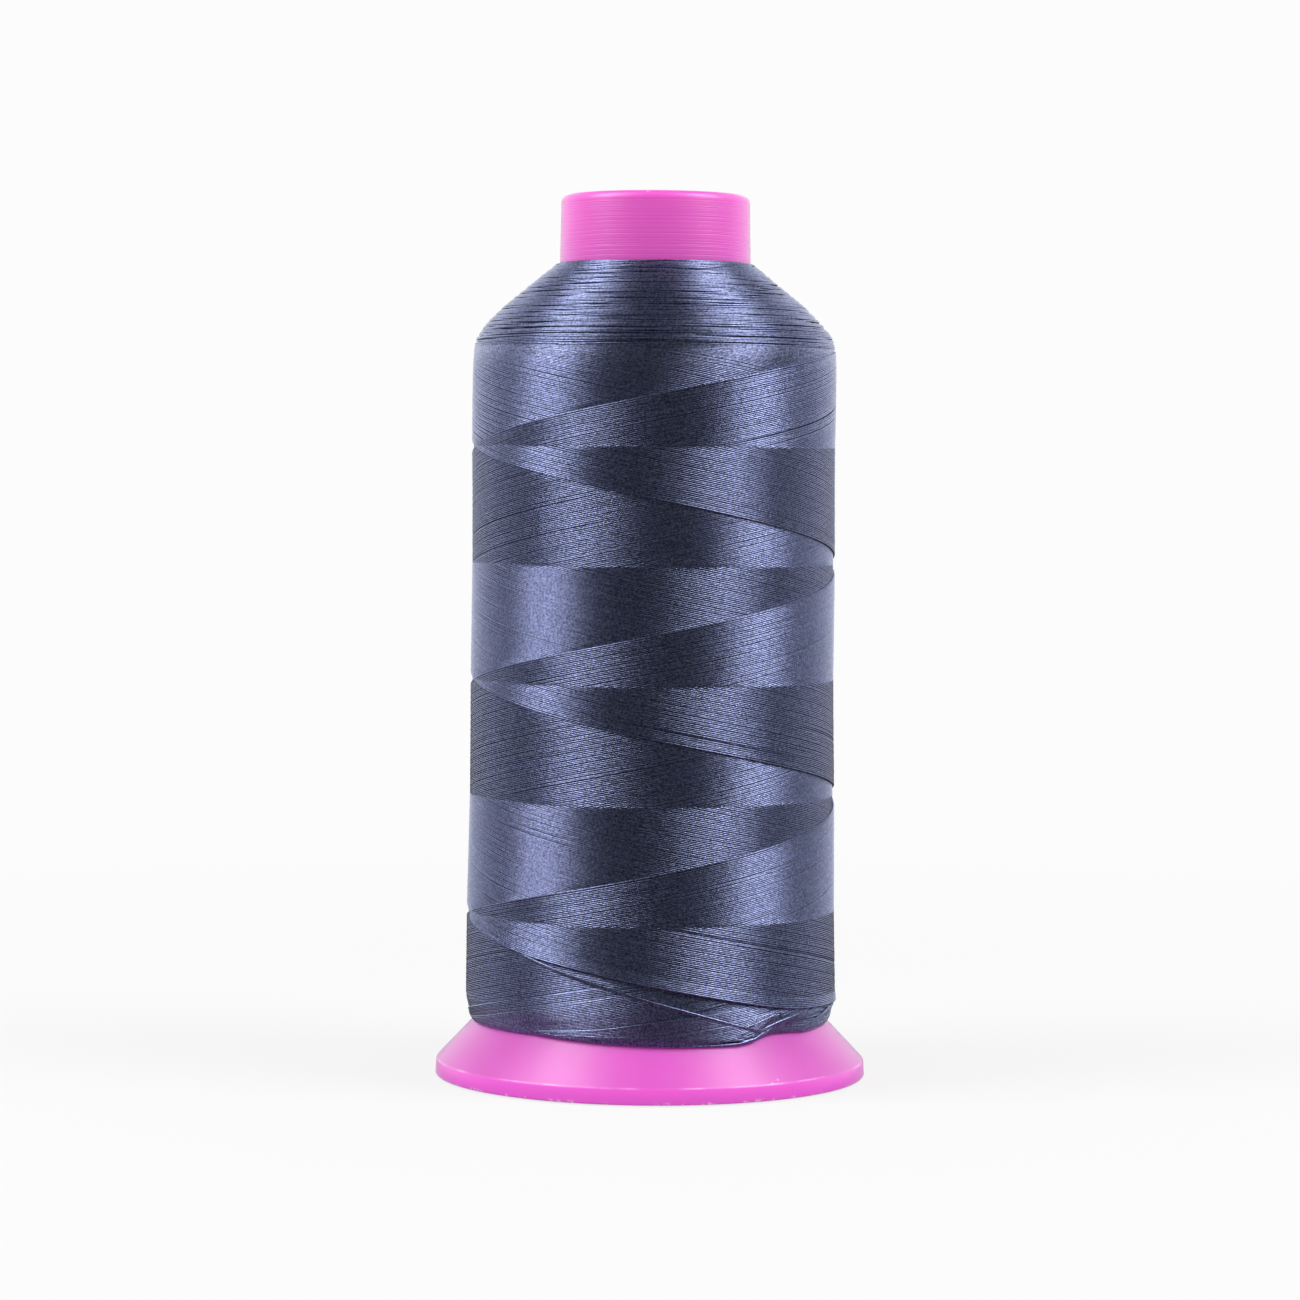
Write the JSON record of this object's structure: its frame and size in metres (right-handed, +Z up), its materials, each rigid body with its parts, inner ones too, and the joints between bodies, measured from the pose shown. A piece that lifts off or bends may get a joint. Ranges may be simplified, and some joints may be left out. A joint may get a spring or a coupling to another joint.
{
  "type": "spool of thread",
  "caption": "King spool of wound sewing thread on a moulded plastic tube, with a flared snap base that slides down the tube to free the thread's tail.",
  "frame": {"origin": "on the spool's axis, at the bottom of the base's rim, on the surface the spool stands on", "axes": "+Z up along the spool's axis, from the base towards the neck; the spool is turned about it, so X and Y are any two level directions"},
  "size_m": [0.0612, 0.0612, 0.1248],
  "materials": {
    "tube_plastic": "satin",
    "base_plastic": "satin",
    "thread": "satin"
  },
  "bodies": {
    "base": {"snap_base": "base_plastic"},
    "spool": {"spool_tube": "tube_plastic", "thread_package": "thread"}
  },
  "joints": [
    {"name": "base_slide", "type": "slide", "parent": "base", "child": "spool", "axis": [0, 0, 1], "range_m": [0, 0.0025]}
  ]
}
